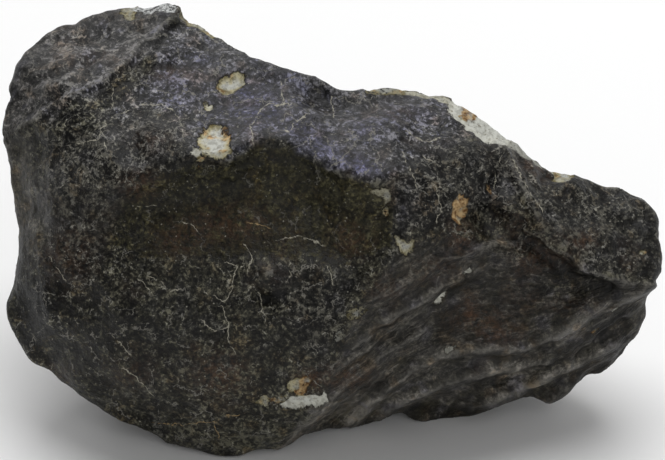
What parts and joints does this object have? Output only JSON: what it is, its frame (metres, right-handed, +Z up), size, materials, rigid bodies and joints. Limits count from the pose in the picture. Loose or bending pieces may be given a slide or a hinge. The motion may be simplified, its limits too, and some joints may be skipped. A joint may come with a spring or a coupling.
{
  "type": "chondrite meteorite",
  "caption": "Chunky natural stone meteorite with a dark, finely cracked fusion crust: a level top, a hollowed broad face and a fluted flank, resting on a small flat spot.",
  "frame": {"origin": "centre of the stone's bounding box, at the level that it rests on", "axes": "+X along the stone's length, towards the fluted flank's end; +Y away from the broad face; +Z up"},
  "size_m": [0.11, 0.0714, 0.0598],
  "materials": {
    "fusion_crust": "matte black-brown fusion crust with fine pale cracks"
  },
  "bodies": {
    "root": {"stone": "fusion_crust"}
  },
  "joints": []
}
